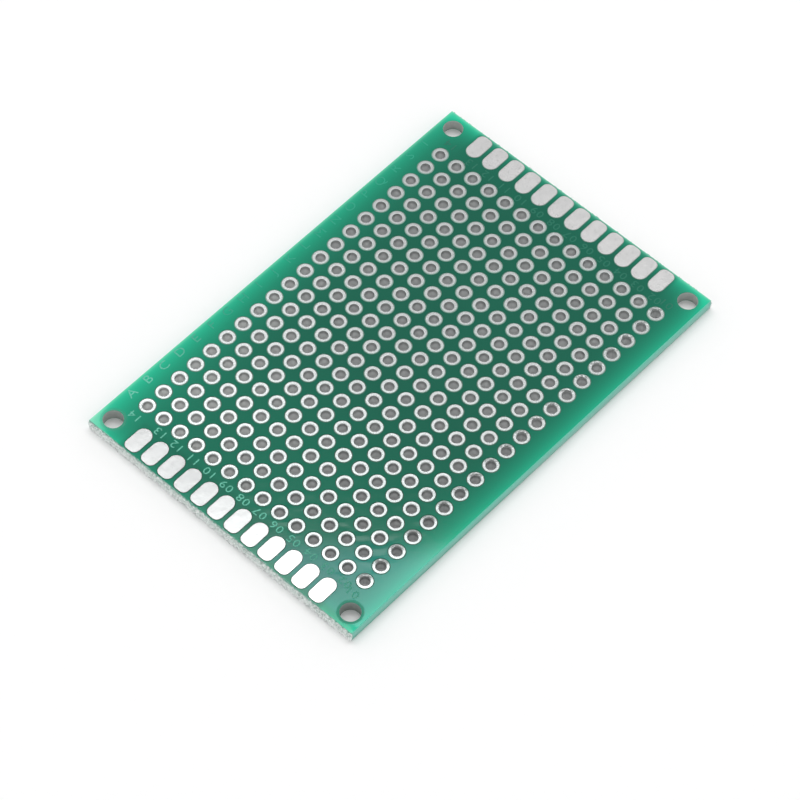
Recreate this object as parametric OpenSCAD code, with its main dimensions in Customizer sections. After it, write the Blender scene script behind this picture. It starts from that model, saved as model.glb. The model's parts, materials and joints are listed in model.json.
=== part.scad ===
// Double-sided prototyping board. A glass-epoxy sheet carries a grid of plated through holes, a row of
// oval edge pads along each short end of each face, and a plain mounting hole in each corner.
// Both faces wear a film of solder mask that is open round every pad.
// Frame: the origin lies under the middle of the board, at the level of its lowest pads.
// +X runs along the board from column A, +Y across it from row 01, +Z up. All sizes are in millimetres.

/* [Hole grid] */
// Distance between neighbouring holes
pitch = 2.54; // [2.3:0.01:3.2]
// Number of hole columns along the board
columns = 20; // [4:1:26]
// Number of hole rows across the board
rows = 14; // [4:1:24]
// Clear diameter of a plated hole
hole_d = 1.15; // [0.8:0.05:1.4]
// Diameter of the round pad at each end of a plated hole
pad_d = 1.95; // [1.6:0.01:2.2]
// Thickness of the metal that lines a hole
lining_t = 0.04; // [0.02:0.01:0.1]

/* [Edge pads] */
// Length of an edge pad, along the board
edge_pad_l = 3.4; // [2.4:0.1:5]
// Width of an edge pad, across the board
edge_pad_w = 1.97; // [1.4:0.01:2.2]
// Corner radius at the outer end of an edge pad
edge_pad_corner_r = 0.6; // [0.2:0.05:0.9]
// Free space between a round pad and the edge pad that faces it
edge_pad_gap = 1.195; // [0.4:0.005:3]
// Bare strip of the face beyond an edge pad's outer end
end_margin = 0.155; // [0.1:0.005:2]

/* [Sheet] */
// Thickness of the glass-epoxy sheet
sheet_t = 1.5; // [0.8:0.1:3]
// Distance from the outer row of holes to the long edge of the board
side_margin = 3.49; // [2.5:0.01:8]
// Thickness of the web that is snapped between the two score lines of an edge
web_t = 0.5; // [0.2:0.05:0.8]
// Distance by which the score lines set the edges of both faces back from the snapped web
score_inset = 0.145; // [0.05:0.005:0.4]

/* [Metal and mask] */
// Height of a pad above the sheet
pad_t = 0.07; // [0.05:0.005:0.15]
// Height of a round pad at its rim and at the mouth of its hole
rim_t = 0.035; // [0.02:0.005:0.05]
// Thickness of the solder mask
mask_t = 0.04; // [0.02:0.005:0.045]
// Free space between a pad and the solder mask round it
mask_gap = 0.06; // [0.03:0.01:0.12]

/* [Mounting holes] */
// Diameter of a corner mounting hole
mount_d = 2.4; // [2:0.1:3]
// Distance from the two edges of a corner to its mounting hole's axis
mount_inset = 2; // [1.8:0.05:2.4]

/* [Hidden] */
SHEET_COLOUR = [0.80, 0.85, 0.76];
MASK_COLOUR = [0.13, 0.50, 0.38];
METAL_COLOUR = [0.85, 0.86, 0.86];

$fn = 48;
// Straight cones that make up the domed top of a round pad
dome_steps = 4;
// Width of the waste strip round the board that scoring and snapping take off
waste = 1;

// The stack of layers, from the lowest pad upwards
sheet_z = pad_t;
sheet_top_z = sheet_z + sheet_t;
mask_bottom_z = sheet_z - mask_t;
mask_top_z = sheet_top_z + mask_t;

// The board's size follows from the grid and from what lies outside it
last_hole_x = (columns - 1) / 2 * pitch;
last_hole_y = (rows - 1) / 2 * pitch;
edge_pad_x = last_hole_x + pad_d / 2 + edge_pad_gap;
board_l = 2 * (edge_pad_x + edge_pad_l + end_margin + score_inset);
board_w = 2 * (last_hole_y + side_margin);
mount_x = board_l / 2 - mount_inset;
mount_y = board_w / 2 - mount_inset;

function hole_x(column) = column * pitch - last_hole_x;
function hole_y(row) = row * pitch - last_hole_y;
function column_node(column) = str("plated_holes_", chr(ord("a") + column));

// Puts its children at every hole of the grid
module at_holes() {
    for (column = [0:columns - 1], row = [0:rows - 1])
        translate([hole_x(column), hole_y(row)]) children();
}

// Puts its children at the four mounting holes
module at_mounting_holes() {
    for (x = [-mount_x, mount_x], y = [-mount_y, mount_y])
        translate([x, y]) children();
}

// Puts its children at each edge pad of the right end, which face all rows but the first and the last
module at_edge_pads() {
    for (row = [1:rows - 2])
        translate([edge_pad_x, hole_y(row)]) children();
}

// Section of the board across one pair of its edges: a score line runs into the edge from each face
module scored_section(size) {
    web_x = size / 2;
    face_x = web_x - score_inset;
    web_z = (mask_top_z + mask_bottom_z - web_t) / 2;
    polygon([
        [-face_x, mask_bottom_z], [face_x, mask_bottom_z],
        [web_x, web_z], [web_x, web_z + web_t],
        [face_x, mask_top_z], [-face_x, mask_top_z],
        [-web_x, web_z + web_t], [-web_x, web_z]
    ]);
}

// The whole board as it is scored and snapped out of its panel, without holes
module snapped_blank() {
    intersection() {
        rotate([90, 0, 0]) linear_extrude(board_w + waste, center = true) scored_section(board_l);
        rotate([90, 0, 90]) linear_extrude(board_l + waste, center = true) scored_section(board_w);
    }
}

module panel_outline() {
    square([board_l + 2 * waste, board_w + 2 * waste], center = true);
}

// Outline of one edge pad with its round inner end at the origin, grown by an even border
module edge_pad_outline(border = 0) {
    end_r = edge_pad_w / 2;
    corner_x = edge_pad_l - edge_pad_corner_r;
    corner_y = end_r - edge_pad_corner_r;
    translate([end_r, 0]) circle(end_r + border);
    translate([end_r, -end_r - border])
        square([corner_x - end_r, edge_pad_w + 2 * border]);
    translate([corner_x, -corner_y])
        square([edge_pad_corner_r + border, 2 * corner_y]);
    for (y = [-corner_y, corner_y])
        translate([corner_x, y]) circle(edge_pad_corner_r + border);
}

module sheet() {
    color(SHEET_COLOUR)
    intersection() {
        snapped_blank();
        translate([0, 0, sheet_z]) linear_extrude(sheet_t) difference() {
            panel_outline();
            at_holes() circle(d = hole_d + 2 * lining_t);
            at_mounting_holes() circle(d = mount_d);
        }
    }
}

module solder_mask(z) {
    color(MASK_COLOUR)
    intersection() {
        snapped_blank();
        translate([0, 0, z]) linear_extrude(mask_t) difference() {
            panel_outline();
            at_holes() circle(d = pad_d + 2 * mask_gap);
            at_mounting_holes() circle(d = mount_d);
            for (turn = [0, 180])
                rotate(turn) at_edge_pads() edge_pad_outline(mask_gap);
        }
    }
}

// Section of the domed pad at one end of a plated hole, on the sheet's face at height z.
// It runs from one radius to the other, and side is 1 on the upper face and -1 on the lower.
function domed_pad(from_r, to_r, z, side) = [
    for (step = [0:dome_steps])
        let (u = step / dome_steps, height = rim_t + (pad_t - rim_t) * (1 - pow(2 * u - 1, 2)))
        [from_r + u * (to_r - from_r), z + side * height]
];

// One lining with a domed pad at each end, turned from a single section
module plated_hole() {
    hole_r = hole_d / 2;
    lining_r = hole_r + lining_t;
    pad_r = pad_d / 2;
    rotate_extrude() polygon(concat(
        [[pad_r, sheet_z], [lining_r, sheet_z], [lining_r, sheet_top_z], [pad_r, sheet_top_z]],
        domed_pad(pad_r, hole_r, sheet_top_z, 1),
        domed_pad(hole_r, pad_r, sheet_z, -1)
    ));
}

module plated_holes(column) {
    color(METAL_COLOUR)
    for (row = [0:rows - 1])
        translate([hole_x(column), hole_y(row)]) plated_hole();
}

// The edge pads of one end on one face, standing on that face's side of the sheet
module edge_pads(turn, z) {
    color(METAL_COLOUR)
    rotate(turn) at_edge_pads() translate([0, 0, z]) linear_extrude(pad_t) edge_pad_outline();
}

sheet();
solder_mask(sheet_top_z);  // solder_mask_top
solder_mask(mask_bottom_z);  // solder_mask_bottom
edge_pads(180, sheet_top_z);  // edge_pads_left_top
edge_pads(180, 0);  // edge_pads_left_bottom
edge_pads(0, sheet_top_z);  // edge_pads_right_top
edge_pads(0, 0);  // edge_pads_right_bottom
for (column = [0:columns - 1])
    plated_holes(column);
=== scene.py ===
import json
import math
import random

import bpy
from mathutils import Euler, Matrix, Vector


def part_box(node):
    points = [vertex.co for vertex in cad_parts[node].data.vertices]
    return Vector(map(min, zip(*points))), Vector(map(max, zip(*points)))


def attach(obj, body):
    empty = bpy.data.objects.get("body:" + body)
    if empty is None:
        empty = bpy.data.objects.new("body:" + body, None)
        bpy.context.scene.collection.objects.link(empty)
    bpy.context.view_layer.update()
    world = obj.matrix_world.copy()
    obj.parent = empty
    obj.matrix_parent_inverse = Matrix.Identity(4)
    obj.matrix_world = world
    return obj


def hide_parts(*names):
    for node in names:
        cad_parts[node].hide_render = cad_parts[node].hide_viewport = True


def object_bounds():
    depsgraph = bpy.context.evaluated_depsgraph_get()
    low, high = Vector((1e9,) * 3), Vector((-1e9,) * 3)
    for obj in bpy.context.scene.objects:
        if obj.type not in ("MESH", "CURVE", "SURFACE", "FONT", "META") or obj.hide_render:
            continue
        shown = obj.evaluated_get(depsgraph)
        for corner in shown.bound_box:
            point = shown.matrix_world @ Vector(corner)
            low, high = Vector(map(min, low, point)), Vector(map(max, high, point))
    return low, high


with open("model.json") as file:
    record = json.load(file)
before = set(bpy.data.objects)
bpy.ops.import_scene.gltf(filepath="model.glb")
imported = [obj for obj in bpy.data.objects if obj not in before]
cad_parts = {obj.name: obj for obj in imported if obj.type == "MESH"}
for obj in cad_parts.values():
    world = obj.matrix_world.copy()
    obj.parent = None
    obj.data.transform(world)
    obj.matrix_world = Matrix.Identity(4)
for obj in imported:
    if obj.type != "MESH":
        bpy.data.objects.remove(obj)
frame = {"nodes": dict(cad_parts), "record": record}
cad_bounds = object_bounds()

# The pieces are modelled in millimetres and brought to metres when they are finished.
MM = 0.001


# ---------------------------------------------------------------- sizes, from the frame

def box_mm(node):
    low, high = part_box(node)
    return low / MM, high / MM


def mount_dims(name):
    return next(mount["dims"] for mount in frame["record"]["mounts"] if mount["name"] == name)


COLUMNS = sorted(node for node in frame["nodes"] if node.startswith("plated_holes_"))
ENDS = ("left", "right")
SIDES = ("bottom", "top")

sheet_low, sheet_high = box_mm("sheet")
_, mask_high = box_mm("solder_mask_top")
first_column_low, first_column_high = box_mm(COLUMNS[0])
last_column_low, _ = box_mm(COLUMNS[-1])
end_pads_low, end_pads_high = box_mm("edge_pads_right_top")

PAD_R = (first_column_high.x - first_column_low.x) / 2
PITCH = (last_column_low.x - first_column_low.x) / (len(COLUMNS) - 1)
FIRST_X = first_column_low.x + PAD_R
FIRST_Y = first_column_low.y + PAD_R
ROWS = round(-2 * FIRST_Y / PITCH) + 1
HOLE_R = mount_dims("lead_hole_a01")["r_mm"]
MOUNT_R = mount_dims("corner_holes")["hole_r_mm"]
MOUNT_X = mount_dims("corner_holes")["spacing_x_mm"] / 2
MOUNT_Y = mount_dims("corner_holes")["spacing_y_mm"] / 2

SHEET_Z, SHEET_TOP_Z = sheet_low.z, sheet_high.z
SHEET_T = SHEET_TOP_Z - SHEET_Z
MIDDLE_Z = (SHEET_Z + SHEET_TOP_Z) / 2
MASK_TOP_Z = mask_high.z
MASK_T = MASK_TOP_Z - SHEET_TOP_Z
PAD_T = end_pads_high.z - SHEET_TOP_Z
EDGE_X, EDGE_Y = sheet_high.x, sheet_high.y
FACE_X, FACE_Y = mask_high.x, mask_high.y

END_PAD_IN, END_PAD_OUT = end_pads_low.x, end_pads_high.x
END_PAD_W = (end_pads_high.y - end_pads_low.y) - (ROWS - 3) * PITCH

# Sizes that the frame doesn't state: the wall of a hole's lining, the web that is snapped between two score
# lines, the gap between the mask and a pad, and the rounding of an edge pad's outer corners
LINING_T = 0.04
WEB_T = 0.5
MASK_GAP = 0.06
END_PAD_CORNER_R = 0.72
LINING_R = HOLE_R + LINING_T

# The grid reaches half a pitch past its outer holes
GRID_X = -FIRST_X + PITCH / 2
GRID_Y = -FIRST_Y + PITCH / 2

# Mirrors a piece of the upper face to the lower
TO_LOWER_FACE = Matrix.Translation((0, 0, 2 * MIDDLE_Z)) @ Matrix.Scale(-1, 4, (0, 0, 1))

# What lies this near to a plane lies in it
NEAR = 0.001

# The wide soft light stands behind the board as the camera sees it, at this heading from +X
LIGHT_HEADING = math.radians(41.4)


def hole_x(column):
    return FIRST_X + column * PITCH


def hole_y(row):
    return FIRST_Y + row * PITCH


# ---------------------------------------------------------------- modelling by hand

def active():
    return bpy.context.view_layer.objects.active


def select_only(*pieces):
    bpy.ops.object.select_all(action="DESELECT")
    for piece in pieces:
        piece.select_set(True)
    bpy.context.view_layer.objects.active = pieces[0]


def begin_edit(piece, kind="VERT"):
    select_only(piece)
    bpy.ops.object.mode_set(mode="EDIT")
    bpy.ops.mesh.select_mode(type=kind)
    bpy.ops.mesh.select_all(action="SELECT")


def end_edit():
    bpy.ops.object.mode_set(mode="OBJECT")


def edit_where(piece, kind, test):
    """Opens a piece for editing with only the vertices or faces selected whose place passes the test."""
    begin_edit(piece, kind)
    bpy.ops.mesh.select_all(action="DESELECT")
    end_edit()
    items = piece.data.vertices if kind == "VERT" else piece.data.polygons
    for item in items:
        item.select = test(item)
    bpy.ops.object.mode_set(mode="EDIT")


def apply_place(piece):
    select_only(piece)
    bpy.ops.object.transform_apply(location=True, rotation=True, scale=True)


def apply_modifier(piece, kind, **settings):
    select_only(piece)
    modifier = piece.modifiers.new(kind.title(), kind)
    for name, value in settings.items():
        setattr(modifier, name, value)
    bpy.ops.object.modifier_apply(modifier=modifier.name)


def copy_of(piece, matrix):
    """A copy with its own mesh, moved, turned or mirrored by the matrix."""
    copy = piece.copy()
    copy.data = piece.data.copy()
    copy.data.transform(matrix)
    if matrix.determinant() < 0:
        copy.data.flip_normals()
    bpy.context.collection.objects.link(copy)
    return copy


def joined(pieces, name):
    select_only(*pieces)
    if len(pieces) > 1:
        bpy.ops.object.join()
    piece = active()
    piece.name = piece.data.name = name
    return piece


def merged(piece, distance=NEAR):
    begin_edit(piece)
    bpy.ops.mesh.remove_doubles(threshold=distance)
    end_edit()
    return piece


def faced_outwards(piece):
    begin_edit(piece, "FACE")
    bpy.ops.mesh.normals_make_consistent(inside=False)
    end_edit()
    return piece


def finish_piece(piece, replaced, material, smooth_angle=35):
    """Brings a piece to metres, gives it its finish and hands it to the frame."""
    piece.data.transform(Matrix.Scale(MM, 4))
    select_only(piece)
    bpy.ops.object.shade_smooth_by_angle(angle=math.radians(smooth_angle))
    piece.data.materials.clear()
    piece.data.materials.append(material)
    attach(piece, "root")
    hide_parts(*replaced)
    return piece


# ---------------------------------------------------------------- finishes

class Value:
    """An output socket of a node. Arithmetic on it adds Math nodes beside it."""

    def __init__(self, finish, socket):
        self.finish, self.socket = finish, socket

    def math(self, operation, *values):
        return self.finish.node("ShaderNodeMath", {"operation": operation}, values)

    def __add__(self, other):
        return self.math("ADD", self, other)

    def __sub__(self, other):
        return self.math("SUBTRACT", self, other)

    def __mul__(self, other):
        return self.math("MULTIPLY", self, other)

    def __truediv__(self, other):
        return self.math("DIVIDE", self, other)

    def __radd__(self, other):
        return self.math("ADD", other, self)

    def __rsub__(self, other):
        return self.math("SUBTRACT", other, self)

    def __rmul__(self, other):
        return self.math("MULTIPLY", other, self)

    def __rtruediv__(self, other):
        return self.math("DIVIDE", other, self)

    def __abs__(self):
        return self.math("ABSOLUTE", self)

    def __pow__(self, power):
        return self.math("POWER", self, power)

    def exp(self):
        return self.math("EXPONENT", self)

    def cos(self):
        return self.math("COSINE", self)

    def fract(self):
        return self.math("FRACT", self)

    def above(self, floor):
        """This value, or the floor where it would fall below."""
        return self.math("MAXIMUM", self, floor)

    def length_with(self, other):
        """The hypotenuse over this value and another."""
        return (self * self + other * other) ** 0.5


class Finish:
    """A material, or the world, whose nodes are added one by one."""

    def __init__(self, owner):
        self.owner = owner
        owner.use_nodes = True
        self.tree = owner.node_tree

    def node(self, kind, settings=None, inputs=None, output=0):
        """Adds a node, sets its settings, then its sockets' values or links, and gives one output."""
        node = self.tree.nodes.new(kind)
        for name, value in (settings or {}).items():
            setattr(node, name, value)
        named = inputs.items() if isinstance(inputs, dict) else enumerate(inputs or ())
        for name, value in named:
            self.feed(node.inputs[name], value)
        return Value(self, node.outputs[output])

    def feed(self, socket, value):
        if isinstance(value, Value):
            self.tree.links.new(value.socket, socket)
        elif value is not None:
            socket.default_value = value

    def place(self):
        """The place on the object in millimetres, as a vector and as its three parts."""
        metres = self.node("ShaderNodeTexCoord", output="Object")
        place = self.node("ShaderNodeVectorMath", {"operation": "SCALE"}, {0: metres, "Scale": 1 / MM})
        parts = [self.node("ShaderNodeSeparateXYZ", inputs=[place], output=axis) for axis in "XYZ"]
        return place, parts

    def noise(self, place, scale, detail=2.0, roughness=0.5, output="Fac"):
        return self.node(
            "ShaderNodeTexNoise", {},
            {"Vector": place, "Scale": scale, "Detail": detail, "Roughness": roughness}, output)

    def ramp(self, value, low, high, to_low=0.0, to_high=1.0):
        """Carries a value from one range to another and stops at its ends, softly."""
        return self.node(
            "ShaderNodeMapRange", {"interpolation_type": "SMOOTHSTEP"},
            {"Value": value, "From Min": low, "From Max": high, "To Min": to_low, "To Max": to_high})

    def mix(self, factor, first, second):
        node = self.tree.nodes.new("ShaderNodeMix")
        node.data_type = "RGBA"
        self.feed(node.inputs["Factor"], factor)
        for socket, value in zip((node.inputs[6], node.inputs[7]), (first, second)):
            self.feed(socket, value if isinstance(value, Value) else (*value, 1))
        return Value(self, node.outputs[2])

    def bump(self, height_mm):
        return self.node("ShaderNodeBump", {}, {"Height": height_mm * MM, "Strength": 1.0, "Distance": 1.0})

    def surface(self, **sockets):
        """Feeds the Principled shader, with words joined by a low line standing for its sockets' names."""
        shader = self.tree.nodes["Principled BSDF"]
        for name, value in sockets.items():
            self.feed(shader.inputs[name.replace("_", " ")], value)
        return self.owner


def new_material(name):
    return Finish(bpy.data.materials.new(name))


def from_hole(x, y):
    """The place seen from the nearest hole of the grid, on both axes."""
    return [
        ((part - first) / PITCH + 0.5).fract() * PITCH - PITCH / 2
        for part, first in ((x, FIRST_X), (y, FIRST_Y))
    ]


def from_mounting_hole(x, y):
    """How far a place lies outside the wall of the nearest mounting hole."""
    return (abs(x) - MOUNT_X).length_with(abs(y) - MOUNT_Y) - MOUNT_R


def along_heading(x, y):
    """Splits a place into its part along the light's heading and how far it lies beside that line."""
    ahead, beside = math.cos(LIGHT_HEADING), math.sin(LIGHT_HEADING)
    return x * ahead + y * beside, abs(x * beside - y * ahead)


# How far the glow painted into the mask reaches, as painted light for the light that comes up through the
# sheet: from the near and the far long edge, from a short edge, and as a thin bright rim
GLOW_NEAR, GLOW_FAR, GLOW_END, GLOW_RIM = 1.7, 2.3, 1.2, 0.16

# Spacing of the glass cloth's threads along and across the board
THREAD_X, THREAD_Y = 0.55, 0.42


def mask_glow(finish, x, y, from_side, from_end, far_side, right):
    """How much glow is painted for the light that comes up through the film: most along the edges, and less
    between the edge pads.
    """
    leftward = finish.ramp(x, EDGE_X, -EDGE_X)
    fade = -1 / GLOW_NEAR + far_side * (1 / GLOW_NEAR - 1 / GLOW_FAR)
    glow_side = (from_side * fade).exp() * (0.62 + leftward * far_side * 0.3)
    glow_end = (from_end / -GLOW_END).exp() * (right * 0.45 + 0.45)
    # Painted glow that grows towards the left
    glow_left = finish.ramp(x, 0.0, -26.0) * 0.085
    pads_y = GRID_Y - PITCH
    among_pads = finish.ramp(abs(y), pads_y + 0.3, pads_y - 0.4) * finish.ramp(from_end, 4.4, 3.6)
    return glow_side + (glow_end + glow_left) * (1 - among_pads * 0.55)


def mask_finish():
    """Green solder mask: dark over the grid, with a glow painted along its edges for light through the sheet.
    """
    finish = new_material("green_solder_mask")
    place, (x, y, _) = finish.place()
    from_side = FACE_Y - abs(y)
    from_end = FACE_X - abs(x)
    far_side = finish.ramp(y, -2.0, 2.0)
    right = finish.ramp(x, -2.0, 2.0)
    cloud = finish.noise(place, 0.12, 3.0) - 0.5
    weave = (x * (2 * math.pi / THREAD_X)).cos() * (y * (2 * math.pi / THREAD_Y)).cos()
    # Painted glow: the mask is lighter where light would come up through the sheet
    painted_glow = mask_glow(finish, x, y, from_side, from_end, far_side, right)
    amount = painted_glow + cloud * 0.05 + weave * 0.006
    colour = finish.mix(amount, (0.0005, 0.104, 0.061), (0.012, 0.54, 0.312))

    # A sheen is painted on the near left corner short of its tip, and a glow is painted along the far rims
    # and on the far left tip
    from_corner, _ = along_heading(x, y)
    before_tip = finish.ramp(x, -29.6, -28.6)
    painted_corner_sheen = finish.ramp(from_corner, -22.5, -27.5) * before_tip * 0.08
    colour = finish.mix(painted_corner_sheen, colour, (0.10, 0.80, 1.0))
    far_rim_glow = (from_side / -GLOW_RIM).exp() * far_side + (from_end / -GLOW_RIM).exp() * right
    far_tip_glow = finish.ramp(y - x, EDGE_X + EDGE_Y - 3.6, EDGE_X + EDGE_Y - 0.6)
    colour = finish.mix(far_rim_glow * 0.7 + far_tip_glow * 0.55, colour, (0.28, 0.76, 0.55))

    # Round each mounting hole the film is drawn back, thin and matte, and a darker ring is painted there as
    # shade, strongest round the near left hole
    from_mount = from_mounting_hole(x, y)
    matte_ring_shade = finish.ramp(from_mount + finish.noise(place, 2.5, 2.0) * 0.2, 0.5, 0.3)
    matte_ring_shade = matte_ring_shade * finish.ramp(x - y * 0.5, 6.0, -14.0, 0.25, 1.0)
    matte_ring_shade = matte_ring_shade * finish.ramp(y, 5.0, -5.0, 0.4, 1.0)
    colour = finish.mix(matte_ring_shade * 0.9, colour, (0.004, 0.20, 0.12))

    # Along the snapped ends the film is chipped and pale
    chips = finish.ramp(finish.noise(place, 4.5, 4.0, 0.6) * 0.3 - from_end, 0.12, 0.17)
    colour = finish.mix(chips * 0.7, colour, (0.36, 0.62, 0.52))

    # The film swells a little between the holes, and thins out towards the long edges near the left end
    swell = ((x + y - FIRST_X - FIRST_Y) * (2 * math.pi / PITCH) - math.pi / 2).cos()
    swell = swell * finish.ramp(from_corner, -14.0, -26.0, 0.15, 1.0)
    in_grid = finish.ramp(from_side, 2.0, 3.6) * finish.ramp(from_end, 3.6, 5.4)
    uneven = finish.ramp(finish.noise(place, 0.4, 1.0), 0.42, 0.68)
    thinned = (2.4 - from_side).above(0) ** 2
    relief = swell * uneven * in_grid * 0.0032 + finish.noise(place, 0.55, 2.0) * 0.003 + weave * 0.0002
    relief = relief - thinned * finish.ramp(x, -13.0, -23.0) * before_tip * 0.0045
    roughness = 0.055 + finish.noise(place, 0.8, 4.0) * 0.03 + matte_ring_shade * 0.4 + chips * 0.4
    return finish.surface(
        Base_Color=colour, Roughness=roughness, Normal=finish.bump(relief), IOR=1.40)


def tin_tone_and_light(finish, place, x, y, near_corner, in_grid):
    """The colour of tin that lies open, with stains here and there, and with light and shade painted in along
    the board.
    """
    patches = finish.noise(place, 0.9, 3.0)
    clean = finish.mix(finish.ramp(patches, 0.35, 0.65), (0.84, 0.84, 0.84), (0.89, 0.89, 0.89))
    # Painted light and shade: the rings are lighter towards the left and on the far rows, darker towards the
    # near corner
    ring = finish.mix(finish.ramp(x, 4.0, -26.0), (0.67, 0.695, 0.695), (0.81, 0.86, 0.86))
    ring = finish.mix(near_corner, ring, (0.37, 0.395, 0.395))
    far_row = finish.ramp(y, 1.0, 17.0) * finish.ramp(x, 16.0, -4.0)
    ring = finish.mix(far_row * 0.7, ring, (0.93, 0.96, 0.96))
    clean = finish.mix(in_grid * 0.85, clean, ring)
    # Painted shade: the left end's pads are darker, most of all about the middle rows
    left_pads_shade = finish.mix(finish.ramp(abs(y - 2.0), 12.0, 4.0), (0.56, 0.57, 0.57), (0.45, 0.46, 0.46))
    clean = finish.mix(finish.ramp(x, -24.0, -26.0), clean, left_pads_shade)
    stains = finish.ramp(finish.noise(place, 3.5, 4.0, 0.65), 0.56, 0.70)
    return finish.mix(stains * 0.35, clean, (0.40, 0.40, 0.40))


def lining_light_and_shade(finish, x, y, z, near_corner, far_half):
    """The colour inside a hole: bright at depth and dark at the mouth, with shade painted near the corner,
    light towards the far left, and a highlight on the far lip.
    """
    mouth = finish.ramp(z, SHEET_TOP_Z - 0.80, SHEET_TOP_Z - 0.15)
    far_left = finish.ramp(y - x, 5.0, 35.0)
    # Painted light towards the far left, painted shade towards the near corner
    lining = finish.mix(far_left, (0.82, 0.83, 0.83), (0.98, 0.99, 0.98))
    lining = finish.mix(near_corner * 0.12, lining, (0.36, 0.37, 0.37))
    lip = finish.mix(near_corner, (0.42, 0.43, 0.43), (0.24, 0.25, 0.25))
    lining = finish.mix(mouth * 0.9, lining, lip)
    # Painted highlight on the far half of the lip
    far_lip_highlight = finish.ramp(z, SHEET_TOP_Z - 0.16, SHEET_TOP_Z - 0.04) * far_half
    return finish.mix(far_lip_highlight * 0.7, lining, (0.80, 0.81, 0.81))


def tin_finish():
    """Hot-dipped tin: bright, rougher inside the holes, with light and shade painted in, and with dark
    streaky arcs on the row along one edge.
    """
    finish = new_material("dipped_tin")
    place, (x, y, z) = finish.place()
    local_x, local_y = from_hole(x, y)
    radius = local_x.length_with(local_y)
    in_grid = finish.ramp(abs(x), GRID_X + 0.1, GRID_X)
    grain = finish.noise(place, 9.0, 3.0)
    from_corner, _ = along_heading(x, y)
    near_corner = finish.ramp(from_corner, -4.0, -25.0)
    # Stains, with light and shade painted in along the board
    stained_and_lit = tin_tone_and_light(finish, place, x, y, near_corner, in_grid)

    # Dark streaky arcs lie on the side of each pad that faces away from the near long edge
    far, aside = along_heading(local_x, local_y)
    edge_row = finish.ramp(y, hole_y(0) + PITCH * 0.6, hole_y(0) + PITCH * 0.4) * in_grid
    arcs = finish.node("ShaderNodeCombineXYZ", inputs=[radius * 5.0, aside * 1.6, x * 0.7])
    streaks = finish.noise(arcs, 2.2, 4.0, 0.7)
    dark_arcs = finish.ramp(streaks, 0.38, 0.52) * finish.ramp(far - aside * 0.25, -0.1, 0.4) * edge_row
    strays = finish.ramp(finish.noise(place, 4.0, 4.0, 0.7), 0.64, 0.72)
    marked = finish.mix(dark_arcs * 0.9 + strays * 0.3, stained_and_lit, (0.13, 0.13, 0.13))

    # The mask laps green on to a ring's rim. Shade is painted on the flanks, darkest towards the near corner
    # and least on the far half of the lip, and the edge pads' flanks are rougher
    lapped = finish.ramp(radius, PAD_R - 0.16, PAD_R - 0.02) * in_grid
    colour = finish.mix(lapped * 0.55, marked, (0.34, 0.60, 0.52))
    height = abs(z - MIDDLE_Z)
    pad_top = SHEET_T / 2 + PAD_T
    flank = finish.ramp(height, pad_top - in_grid * 0.002 - 0.0004, pad_top - in_grid * 0.01 - 0.004)
    on_lip = finish.ramp(radius, HOLE_R + 0.15, HOLE_R + 0.10) * in_grid
    far_half = finish.ramp(far, -0.3, 0.1)
    flank = flank * (1 - on_lip * far_half * 0.85)
    flank_shade = finish.mix(finish.ramp(from_corner, -22.0, 14.0), (0.10, 0.20, 0.16), (0.26, 0.42, 0.36))
    colour = finish.mix(flank, colour, flank_shade)

    # At the upper face the lining's colour is painted a hair off the hole's axis, towards the near corner:
    # painted shade on the near lip and painted light on the far lip
    at_face = finish.ramp(z, SHEET_TOP_Z - 0.05, SHEET_TOP_Z)
    shade_shifted_radius = (local_x + at_face * 0.022).length_with(local_y + at_face * 0.020)
    in_hole = finish.ramp(shade_shifted_radius, HOLE_R + 0.035, HOLE_R + 0.01) * in_grid
    lining = lining_light_and_shade(finish, x, y, z, near_corner, far_half)
    colour = finish.mix(in_hole, colour, lining)
    roughness = 0.13 + grain * 0.03 + dark_arcs * 0.3 + strays * 0.2 + in_hole * 0.3 + flank * (1 - in_grid) * 0.5
    relief = finish.noise(place, 1.1, 2.0) * 0.003 + grain * 0.0004 - dark_arcs * 0.004
    return finish.surface(Base_Color=colour, Metallic=1.0, Roughness=roughness, Normal=finish.bump(relief))


def torn_tone_and_light(finish, z, fibres, specks):
    """Torn glass cloth: white fibres with dark specks, green under the mask, and light painted in to make it
    palest at the bottom.
    """
    torn = finish.mix(finish.ramp(fibres, 0.38, 0.58), (0.50, 0.60, 0.56), (0.80, 0.87, 0.84))
    torn = finish.mix(finish.ramp(specks, 0.52, 0.62), torn, (0.93, 0.94, 0.93))
    # Painted light: the lower part is made paler
    torn = finish.mix(finish.ramp(z, SHEET_TOP_Z - 0.7, SHEET_Z + 0.2) * 0.7, torn, (0.90, 0.92, 0.91))
    torn = finish.mix(finish.ramp(specks, 0.44, 0.38) * 0.55, torn, (0.34, 0.40, 0.37))
    under_mask = finish.ramp(z, SHEET_TOP_Z - 0.2, SHEET_TOP_Z - 0.06)
    return finish.mix(under_mask * 0.8, torn, (0.06, 0.32, 0.23))


def scored_tone_and_shade(finish, x, z, fibres):
    """The scored sides: clear green, with shade painted in that deepens it downwards, most of all towards the
    left.
    """
    from_top = finish.ramp(z, SHEET_TOP_Z, SHEET_TOP_Z - 0.55)
    clear = finish.mix(from_top, (0.08, 0.54, 0.39), (0.16, 0.46, 0.38))
    # Painted shade at the foot of the sides, deepest towards the left
    foot_shade = finish.mix(finish.ramp(x, 5.0, -10.0), (0.18, 0.43, 0.36), (0.09, 0.36, 0.28))
    clear = finish.mix(finish.ramp(z, SHEET_TOP_Z - 0.5, SHEET_Z + 0.1), clear, foot_shade)
    return finish.mix((fibres - 0.5) * 0.5 + 0.1, clear, (0.55, 0.70, 0.64))


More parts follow.
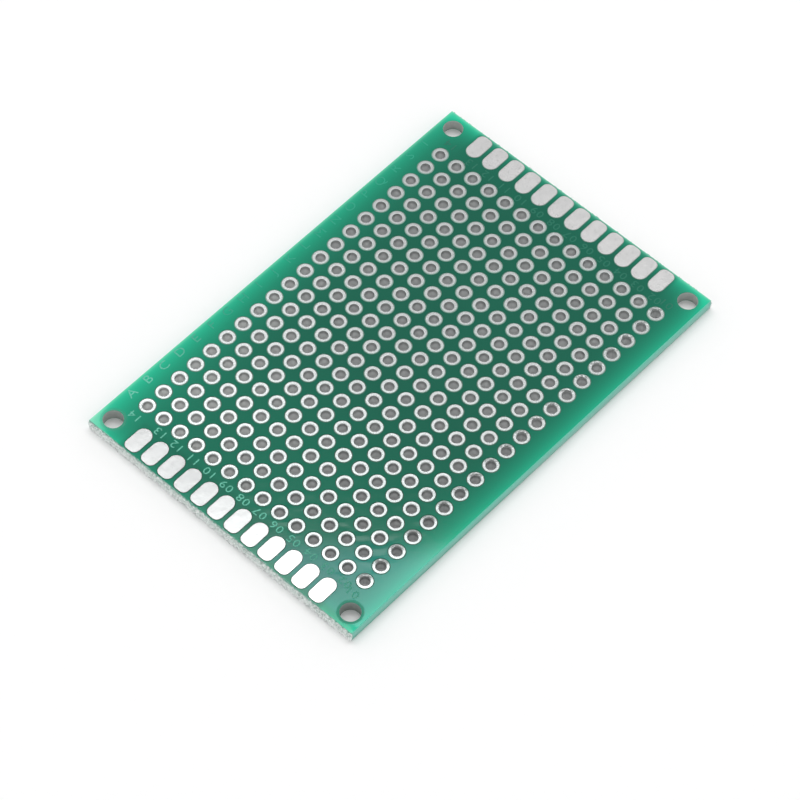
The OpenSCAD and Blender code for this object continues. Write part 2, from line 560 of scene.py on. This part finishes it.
def laminate_finish():
    """Glass-epoxy: white and fibrous where it was torn, green and clear along the scored sides, with light
    and shade painted in.
    """
    finish = new_material("glass_epoxy")
    place, (x, y, z) = finish.place()
    strands = finish.node("ShaderNodeCombineXYZ", inputs=[x * 1.5, y * 1.2, z * 4.0])
    fibres = finish.noise(strands, 1.6, 5.0, 0.7)
    specks = finish.noise(place, 3.2, 4.0, 0.75)
    at_end = finish.ramp(abs(x) + (specks - 0.5) * 0.2, FACE_X - 0.12, FACE_X - 0.02)
    colour = finish.mix(at_end, scored_tone_and_shade(finish, x, z, fibres), torn_tone_and_light(finish, z, fibres, specks))

    # The drilled walls of the mounting holes are grey, with shade painted in that darkens them towards the
    # near corner
    drilled = finish.mix(fibres, (0.36, 0.39, 0.37), (0.54, 0.57, 0.55))
    drilled = finish.mix(finish.ramp(x + y, 0.0, -30.0) * 0.5, drilled, (0.16, 0.20, 0.18))
    colour = finish.mix(finish.ramp(from_mounting_hole(x, y), 0.06, 0.03), colour, drilled)

    # In the gaps round the pads a shade is painted on the bare face, darkest towards the near corner
    height = abs(z - MIDDLE_Z)
    on_face = finish.ramp(height, SHEET_T / 2 - 0.004, SHEET_T / 2 - 0.001)
    on_face = on_face * finish.ramp(abs(x), FACE_X + 0.01, FACE_X)
    from_corner, _ = along_heading(x, y)
    gap_shade = finish.mix(finish.ramp(from_corner, -22.0, 14.0), (0.03, 0.06, 0.045), (0.24, 0.38, 0.33))
    colour = finish.mix(on_face, colour, gap_shade)
    roughness = 0.45 + specks * 0.3
    relief = (fibres * 0.08 + specks * 0.09) * (0.1 + at_end * 0.9)
    return finish.surface(Base_Color=colour, Roughness=roughness, Normal=finish.bump(relief), IOR=1.5)


def ink_finish():
    """Pale marking ink, which lets the mask show through more and more towards the right end."""
    finish = new_material("marking_ink")
    place, (x, y, _) = finish.place()
    wear = finish.ramp(finish.noise(place, 5.0, 3.0, 0.6), 0.36, 0.60)
    left = finish.ramp(x, -5.0, -22.0)
    near_side = finish.ramp(y, -2.0, -14.0)
    faded = finish.ramp(x, -4.0, 20.0)
    fresh = finish.mix(left, (0.012, 0.20, 0.125), (0.15, 0.55, 0.41))
    fresh = finish.mix(near_side * 0.75, fresh, (0.02, 0.22, 0.14))
    fresh = finish.mix(faded * 0.6, fresh, (0.004, 0.13, 0.08))
    worn = finish.mix(faded, (0.01, 0.17, 0.11), (0.005, 0.13, 0.082))

    # The letters stand on the pale far margin, where only the first ones are bright
    on_margin = finish.ramp(y, 17.6, 18.3)
    past_first = finish.ramp(x, -19.0, -7.0)
    margin_fresh = finish.mix(past_first, (0.06, 0.38, 0.26), (0.015, 0.33, 0.205))
    margin_worn = finish.mix(past_first, (0.035, 0.33, 0.215), (0.009, 0.31, 0.19))
    worn = finish.mix(on_margin, worn, margin_worn)
    fresh = finish.mix(on_margin * (1 - left), fresh, margin_fresh)
    colour = finish.mix(wear * 0.7 + 0.3, worn, fresh)
    return finish.surface(Base_Color=colour, Roughness=0.7 + wear * 0.2)


MASK = mask_finish()
TIN = tin_finish()
LAMINATE = laminate_finish()
INK = ink_finish()


# ---------------------------------------------------------------- sheets with openings

# Edges along one pitch of a cell, across a long margin, and along an end pad
PER_PITCH, PER_MARGIN, PER_END = 6, 5, 10


def steps(low, high, count):
    return [low + (high - low) * step / count for step in range(count + 1)]


def rim_loop(x_cuts, y_cuts, z):
    """The outline of a rectangle, with a corner at every cut."""
    size = (x_cuts[-1] - x_cuts[0], y_cuts[-1] - y_cuts[0])
    middle = ((x_cuts[-1] + x_cuts[0]) / 2, (y_cuts[-1] + y_cuts[0]) / 2, z)
    bpy.ops.object.select_all(action="DESELECT")
    bpy.ops.mesh.primitive_plane_add(size=1, location=middle)
    piece = active()
    piece.scale = (*size, 1)
    apply_place(piece)
    begin_edit(piece)
    for cuts, normal in ((x_cuts, Vector((1, 0, 0))), (y_cuts, Vector((0, 1, 0)))):
        for cut in cuts[1:-1]:
            bpy.ops.mesh.select_all(action="SELECT")
            bpy.ops.mesh.bisect(plane_co=normal * cut, plane_no=normal)
    bpy.ops.mesh.select_all(action="SELECT")
    return piece


def outline_only():
    """In edit mode, keeps only the border of what is selected."""
    bpy.ops.mesh.region_to_loop()
    bpy.ops.mesh.select_mode(type="EDGE")
    bpy.ops.mesh.select_all(action="INVERT")
    bpy.ops.mesh.delete(type="EDGE_FACE")
    bpy.ops.mesh.select_all(action="SELECT")
    bpy.ops.mesh.delete_loose(use_verts=True, use_edges=False, use_faces=False)
    bpy.ops.mesh.select_mode(type="VERT")


def round_cell(x_cuts, y_cuts, z, centre, radius, rings=1):
    """A rectangle of the sheet round a circular opening."""
    piece = rim_loop(x_cuts, y_cuts, z)
    outline_only()
    corners = 2 * (len(x_cuts) + len(y_cuts) - 2)
    bpy.ops.mesh.primitive_circle_add(vertices=corners, radius=radius, location=(*centre, z))
    bpy.ops.mesh.select_all(action="SELECT")
    bpy.ops.mesh.bridge_edge_loops(number_cuts=rings, interpolation="LINEAR")
    end_edit()
    return piece


def end_pad_face(border, z):
    """The flat face of the right end's first edge pad, grown by a border: a strip with rounded corners."""
    inner, outer = END_PAD_IN - border, END_PAD_OUT + border
    half = END_PAD_W / 2 + border
    y = hole_y(1)
    bpy.ops.object.select_all(action="DESELECT")
    bpy.ops.mesh.primitive_plane_add(size=1, location=((inner + outer) / 2, y, z))
    piece = active()
    piece.scale = (outer - inner, 2 * half, 1)
    apply_place(piece)
    for is_inner, radius, segments in ((True, half, 8), (False, END_PAD_CORNER_R + border, 5)):
        corner_x = inner if is_inner else outer
        edit_where(piece, "VERT", lambda v: abs(v.co.x - corner_x) < NEAR)
        bpy.ops.mesh.bevel(
            offset=radius, offset_type="OFFSET", segments=segments, affect="VERTICES", clamp_overlap=False)
        end_edit()
    return merged(piece)


def end_pad_cell(x_cuts, y_cuts, z, border):
    """A rectangle of the sheet round the opening of one edge pad."""
    piece = rim_loop(x_cuts, y_cuts, z)
    outline_only()
    end_edit()
    opening = end_pad_face(border, z)
    begin_edit(opening, "FACE")
    bpy.ops.mesh.delete(type="ONLY_FACE")
    end_edit()
    piece = joined([piece, opening], "cell")
    begin_edit(piece)
    bpy.ops.mesh.bridge_edge_loops()
    end_edit()
    return piece


def plain_cell(x_cuts, y_cuts, z):
    piece = rim_loop(x_cuts, y_cuts, z)
    end_edit()
    return piece


def repeat(piece, count, offset):
    apply_modifier(
        piece, "ARRAY", count=count, use_relative_offset=False, use_constant_offset=True,
        constant_offset_displace=offset, use_merge_vertices=True, merge_threshold=NEAR)


def pierced_sheet(name, z, hole_r, pad_border):
    """The board's flat face at height z, open at every hole, and round every edge pad if given a border."""
    turned = Matrix.Rotation(math.pi, 4, "Z")
    hole_cell = round_cell(
        steps(-GRID_X, -GRID_X + PITCH, PER_PITCH), steps(-GRID_Y, -GRID_Y + PITCH, PER_PITCH),
        z, (hole_x(0), hole_y(0)), hole_r)
    repeat(hole_cell, len(COLUMNS), (PITCH, 0, 0))
    repeat(hole_cell, ROWS, (0, PITCH, 0))

    end_x = steps(GRID_X, FACE_X, PER_END)
    end_y = steps(-GRID_Y + PITCH, -GRID_Y + 2 * PITCH, PER_PITCH)
    if pad_border is None:
        right_end = plain_cell(end_x, end_y, z)
    else:
        right_end = end_pad_cell(end_x, end_y, z, pad_border)
    repeat(right_end, ROWS - 2, (0, PITCH, 0))

    far_margin = plain_cell(
        steps(-GRID_X, GRID_X, PER_PITCH * len(COLUMNS)), steps(GRID_Y, FACE_Y, PER_MARGIN), z)

    corner = round_cell(
        end_x, steps(GRID_Y - PITCH, GRID_Y, PER_PITCH)[:-1] + steps(GRID_Y, FACE_Y, PER_MARGIN),
        z, (MOUNT_X, MOUNT_Y), MOUNT_R)
    corners = [
        copy_of(corner, Matrix.Diagonal((side_x, side_y, 1, 1)))
        for side_x, side_y in ((-1, 1), (1, -1), (-1, -1))
    ]
    sheet = joined(
        [hole_cell, right_end, copy_of(right_end, turned), far_margin, copy_of(far_margin, turned), corner]
        + corners, name)
    return faced_outwards(merged(sheet))


def thickened(sheet, thickness):
    """Pulls a flat sheet down into a closed plate."""
    begin_edit(sheet, "FACE")
    bpy.ops.mesh.extrude_region_move(TRANSFORM_OT_translate={"value": (0, 0, -thickness)})
    end_edit()
    return faced_outwards(sheet)


def make_masks():
    upper = thickened(pierced_sheet("mask_film_top", MASK_TOP_Z, PAD_R + MASK_GAP, MASK_GAP), MASK_T)
    lower = joined([copy_of(upper, TO_LOWER_FACE)], "mask_film_bottom")
    finish_piece(upper, ["solder_mask_top"], MASK)
    finish_piece(lower, ["solder_mask_bottom"], MASK)


# How far the score lines set the edges of both faces back from the web
SET_BACK = EDGE_X - FACE_X


def snap_sides(sheet):
    """Draws all four sides out to the snapped web between their score lines."""
    web_low, web_high = MIDDLE_Z - WEB_T / 2, MIDDLE_Z + WEB_T / 2

    def on_rim(place):
        return abs(place.x) > FACE_X - NEAR or abs(place.y) > FACE_Y - NEAR

    edit_where(sheet, "FACE", lambda face: abs(face.normal.z) < 0.5 and on_rim(face.center))
    for height in (web_high, MIDDLE_Z, web_low):
        bpy.ops.mesh.bisect(plane_co=(0, 0, height), plane_no=(0, 0, 1))
    end_edit()
    for axis, size in ((0, FACE_X), (1, FACE_Y)):
        for side in (-1, 1):
            edit_where(
                sheet, "VERT",
                lambda v: v.co[axis] * side > size - NEAR and web_low - NEAR < v.co.z < web_high + NEAR)
            push = Vector((0, 0, 0))
            push[axis] = side * SET_BACK
            bpy.ops.transform.translate(value=push)
            end_edit()


# The tear of the short ends, from coarse to fine: how far a vertex moves at most, and the seed of the moves
TEAR = ((0.13, 3), (0.08, 4), (0.03, 6))

# What stands out past the faces' edges by more than this belongs to the tear
TORN_FROM = FACE_X + 0.02

# Height at which the fringe under the torn ends is flattened
FRINGE_Z = 0.004


def tear_ends(sheet):
    """Fills out the lower score line of the short ends, then makes them uneven and rough."""
    for side in (-1, 1):
        edit_where(sheet, "VERT", lambda v: v.co.x * side > FACE_X - NEAR and v.co.z < SHEET_Z + NEAR)
        bpy.ops.transform.translate(value=(side * SET_BACK * 0.9, 0, -0.03))
        end_edit()
    for depth, seed in TEAR:
        edit_where(
            sheet, "FACE", lambda face: abs(face.normal.z) < 0.7 and abs(face.center.x) > FACE_X - NEAR)
        bpy.ops.mesh.subdivide(number_cuts=1)
        end_edit()
        edit_where(sheet, "VERT", lambda v: abs(v.co.x) > TORN_FROM and abs(v.co.y) < FACE_Y)
        bpy.ops.transform.vertex_random(offset=depth, uniform=0.3, normal=0.8, seed=seed)
        end_edit()
    edit_where(sheet, "VERT", lambda v: abs(v.co.x) > TORN_FROM and v.co.z < SHEET_Z)
    bpy.ops.transform.resize(value=(1, 1, 0), center_override=(0, 0, FRINGE_Z))
    end_edit()


def make_laminate():
    """The sheet, scored and snapped along its long sides and torn at its short ends."""
    sheet = thickened(pierced_sheet("glass_epoxy_sheet", SHEET_TOP_Z, LINING_R, None), SHEET_T)
    snap_sides(sheet)
    tear_ends(sheet)
    finish_piece(sheet, ["sheet"], LAMINATE, 25)


SLIVERS = 220


def make_torn_fibres():
    """Slivers of glass cloth that stand out from the torn short ends."""
    bpy.ops.object.select_all(action="DESELECT")
    bpy.ops.mesh.primitive_cone_add(vertices=4, radius1=0.5, radius2=0.16, depth=1)
    sliver = active()
    begin_edit(sliver, "FACE")
    bpy.ops.mesh.subdivide(number_cuts=1)
    bpy.ops.transform.vertex_random(offset=0.12, seed=5)
    end_edit()
    draw = random.Random(11)
    copies = []
    for _ in range(SLIVERS):
        size = Vector((draw.uniform(0.05, 0.15), draw.uniform(0.04, 0.10), draw.uniform(0.15, 0.60)))
        tilt, roll, turn = draw.uniform(-0.35, 0.35), draw.uniform(0, math.pi), draw.uniform(-0.15, 0.15)
        side = draw.choice((-1, 1))
        height = draw.uniform(0.3, 1.0) ** 0.6 * (0.75 if side > 0 else 1)
        depth = EDGE_X - 0.01 - abs(height - 0.5) * 0.2
        place = Vector((side * depth, draw.uniform(-FACE_Y, FACE_Y), SHEET_Z + height * (SHEET_T - 0.06)))
        lean = Euler((math.pi / 2 + tilt, roll, turn))
        copies.append(copy_of(sliver, Matrix.LocRotScale(place, lean, size)))
    bpy.data.objects.remove(sliver)
    fibres = faced_outwards(joined(copies, "torn_fibres"))
    finish_piece(fibres, [], LAMINATE, 20)


# ---------------------------------------------------------------- metal

HOLE_SEGMENTS = 20


def turned_piece(profile, segments):
    """A closed ring turned from a closed section of (radius, height) points."""
    bpy.ops.object.select_all(action="DESELECT")
    bpy.ops.mesh.primitive_circle_add(vertices=segments, radius=profile[0][0], location=(0, 0, profile[0][1]))
    piece = active()
    apply_place(piece)
    begin_edit(piece)
    centre = (0, 0, 0)
    for (radius, z), (next_radius, next_z) in zip(profile, profile[1:] + profile[:1]):
        bpy.ops.mesh.extrude_region_move(TRANSFORM_OT_translate={"value": (0, 0, next_z - z)})
        growth = next_radius / radius
        bpy.ops.transform.resize(value=(growth, growth, 1), center_override=centre)
    end_edit()
    return faced_outwards(merged(piece))


def make_plated_holes():
    """One lined hole with a low crown of tin at both ends, copied down every column."""
    rim = [(PAD_R, 0), (PAD_R, 0.35 * PAD_T)]
    crown = [(PAD_R - 0.05, PAD_T), (HOLE_R + 0.09, PAD_T)]
    mouth = [(HOLE_R + 0.02, 0.2 * PAD_T), (HOLE_R, -PAD_T)]
    section = rim + crown + mouth
    lining = turned_piece(
        [(radius, SHEET_TOP_Z + rise) for radius, rise in section]
        + [(radius, SHEET_Z - rise) for radius, rise in reversed(section)]
        + [(LINING_R, SHEET_Z), (LINING_R, SHEET_TOP_Z)],
        HOLE_SEGMENTS)
    for column, node in enumerate(COLUMNS):
        copies = [
            copy_of(lining, Matrix.Translation((hole_x(column), hole_y(row), 0)))
            for row in range(ROWS)
        ]
        piece = joined(copies, node.replace("plated_holes", "tinned_holes"))
        finish_piece(piece, [node], TIN, 30)
    bpy.data.objects.remove(lining)


# The chamfer round an edge pad's upper face
CHAMFER = 0.3 * PAD_T


def make_edge_pads():
    """One tinned pad with a chamfered face, copied along both ends of both faces."""
    pad = end_pad_face(0, SHEET_TOP_Z)
    begin_edit(pad, "FACE")
    bpy.ops.mesh.extrude_region_move(TRANSFORM_OT_translate={"value": (0, 0, PAD_T - CHAMFER)})
    bpy.ops.mesh.inset(thickness=CHAMFER, depth=CHAMFER)
    end_edit()
    faced_outwards(pad)
    row = [copy_of(pad, Matrix.Translation((0, step * PITCH, 0))) for step in range(ROWS - 2)]
    row = joined(row, "edge_pad_row")
    for end in ENDS:
        turn = Matrix.Rotation(math.pi if end == "left" else 0, 4, "Z")
        for side in SIDES:
            place = turn @ (TO_LOWER_FACE if side == "bottom" else Matrix.Identity(4))
            piece = joined([copy_of(row, place)], f"tinned_pads_{end}_{side}")
            finish_piece(piece, [f"edge_pads_{end}_{side}"], TIN)
    bpy.data.objects.remove(pad)
    bpy.data.objects.remove(row)


# ---------------------------------------------------------------- markings

INK_T = 0.008
NUMBER_H, LETTER_H = 1.0, 1.12

# The font's size over the height of its capitals, the space between its characters, and how far they are
# widened
FONT_SIZE, MARK_SPACING, MARK_WIDTH = 1.37, 1.12, 1.18

# Row numbers stand just inside the edge pads and a little nearer than their row, but those of the first and
# the last row closer to the end and level with it. Column letters stand along the far margin.
NUMBER_X, CORNER_NUMBER_X = 25.67, 26.03
NUMBER_SHIFT = 1.08
LETTER_Y = 18.93


def mark(text, x, y, turn, height):
    """One printed mark, raised a little off the mask."""
    bpy.ops.object.select_all(action="DESELECT")
    bpy.ops.object.text_add(location=(x, y, MASK_TOP_Z + INK_T / 2), rotation=(0, 0, turn))
    piece = active()
    piece.data.body = text
    piece.data.space_character = MARK_SPACING
    piece.data.size = height * FONT_SIZE
    piece.data.align_x = "CENTER"
    piece.data.align_y = "CENTER"
    piece.data.extrude = INK_T / 2
    piece.data.resolution_u = 3
    bpy.ops.object.convert(target="MESH")
    piece = active()
    piece.scale.x = MARK_WIDTH
    apply_place(piece)
    return piece


def make_markings():
    quarter = math.pi / 2
    for end, side in zip(ENDS, (-1, 1)):
        marks = []
        for row in range(ROWS):
            at_corner = row in (0, ROWS - 1)
            x = side * (CORNER_NUMBER_X if at_corner else NUMBER_X)
            y = hole_y(row) - (0 if at_corner else NUMBER_SHIFT)
            marks.append(mark(f"{row + 1:02d}", x, y, quarter, NUMBER_H))
        ink = faced_outwards(merged(joined(marks, f"row_numbers_{end}"), 0.0001))
        finish_piece(ink, [], INK)
    letters = [
        mark(chr(ord("A") + column), hole_x(column), LETTER_Y, 0, LETTER_H)
        for column in range(len(COLUMNS))
    ]
    ink = faced_outwards(merged(joined(letters, "column_letters"), 0.0001))
    finish_piece(ink, [], INK)


# ---------------------------------------------------------------- camera, light and floor

# Where the camera stands and looks, in millimetres, how far it is rolled, and its lens
CAMERA_PLACE = Vector((-168.625, -148.14, 331.07))
CAMERA_TARGET = Vector((-4.355, -3.39, 1.63))
CAMERA_ROLL = math.radians(1.60)
CAMERA_LENS, CAMERA_SENSOR = 159.93, 36.0


def make_camera():
    camera = bpy.data.cameras.new("camera")
    camera.sensor_width = CAMERA_SENSOR
    camera.lens = CAMERA_LENS
    camera.clip_start, camera.clip_end = 0.01, 20
    holder = bpy.data.objects.new("camera", camera)
    bpy.context.collection.objects.link(holder)
    holder.location = CAMERA_PLACE * MM
    look = (CAMERA_TARGET * MM - holder.location).to_track_quat("-Z", "Y")
    holder.rotation_mode = "QUATERNION"
    holder.rotation_quaternion = look @ Euler((0, 0, CAMERA_ROLL)).to_quaternion()
    bpy.context.scene.camera = holder


def towards(elevation, heading=LIGHT_HEADING):
    flat = math.cos(elevation)
    return Vector((flat * math.cos(heading), flat * math.sin(heading), math.sin(elevation)))


# The softbox is turned about its own axis, so that its lower edge comes nearer over the board's left corner
SOFTBOX_TURN = math.radians(-6)


def make_softbox():
    """A wide soft light overhead and beyond the board, whose lower edge mirrors in the near corner."""
    distance, radiance = 3.0, 3.5
    low, high, half_width = math.radians(59.4), math.radians(80), math.radians(28)
    light = bpy.data.lights.new("softbox", "AREA")
    light.shape = "RECTANGLE"
    light.size = 2 * distance * math.tan(half_width)
    light.size_y = 2 * distance * math.tan((high - low) / 2)
    light.energy = radiance * math.pi * light.size * light.size_y
    holder = bpy.data.objects.new("softbox", light)
    bpy.context.collection.objects.link(holder)
    middle = towards((low + high) / 2)
    holder.location = middle * distance
    holder.rotation_mode = "QUATERNION"
    holder.rotation_quaternion = middle.to_track_quat("Z", "Y") @ Euler((0, 0, SOFTBOX_TURN)).to_quaternion()


# How bright the ceiling is on the camera's side and behind the board, and how high the white backdrop reaches
# there
CEILING_NEAR, CEILING_BEHIND = 0.26, 0.62
BACKDROP_NEAR, BACKDROP_BEHIND = math.radians(62), math.radians(46)


def make_world():
    """A white backdrop all round, under a grey ceiling that is darker on the camera's side."""
    world = bpy.data.worlds.new("white_room")
    bpy.context.scene.world = world
    room = Finish(world)
    direction = room.node("ShaderNodeTexCoord", output="Generated")
    height = room.node("ShaderNodeSeparateXYZ", inputs=[direction], output="Z")
    behind = room.node(
        "ShaderNodeVectorMath", {"operation": "DOT_PRODUCT"}, [direction, towards(0)], "Value")
    ceiling = room.ramp(behind, -0.2, 0.35, CEILING_NEAR, CEILING_BEHIND)
    top = room.ramp(behind, -0.3, 0.1, math.sin(BACKDROP_NEAR), math.sin(BACKDROP_BEHIND))
    backdrop = room.ramp(top - height, 0.0, 0.13)
    background = world.node_tree.nodes["Background"]
    background.inputs["Color"].default_value = (1, 1, 1, 1)
    room.feed(background.inputs["Strength"], ceiling + backdrop * (1 - ceiling))


# The paper lies a hair below the lowest pads, so that no two faces share a plane
FLOOR_GAP = 0.003 * MM


def make_floor():
    """White paper, which the camera and mirrored rays see a little lighter, so that it shows as white."""
    bpy.ops.object.select_all(action="DESELECT")
    bpy.ops.mesh.primitive_plane_add(size=6, location=(0, 0, cad_bounds[0].z - FLOOR_GAP))
    floor = active()
    floor.name = "floor"
    finish = new_material("white_paper")
    camera_ray, glossy_ray, transmission_ray = [
        finish.node("ShaderNodeLightPath", output=kind)
        for kind in ("Is Camera Ray", "Is Glossy Ray", "Is Transmission Ray")]
    place, _ = finish.place()
    fibre = finish.noise(place, 0.8, 3.0)
    finish.surface(
        Base_Color=finish.mix(fibre, (0.85, 0.85, 0.85), (0.86, 0.86, 0.86)), Roughness=0.9,
        Emission_Color=(1, 1, 1, 1), Emission_Strength=(camera_ray + glossy_ray + transmission_ray) * 0.08)
    floor.data.materials.append(finish.owner)


make_camera()
make_laminate()
make_torn_fibres()
make_masks()
make_plated_holes()
make_edge_pads()
make_markings()
make_softbox()
make_world()
make_floor()

bpy.context.scene.view_settings.view_transform = "Standard"
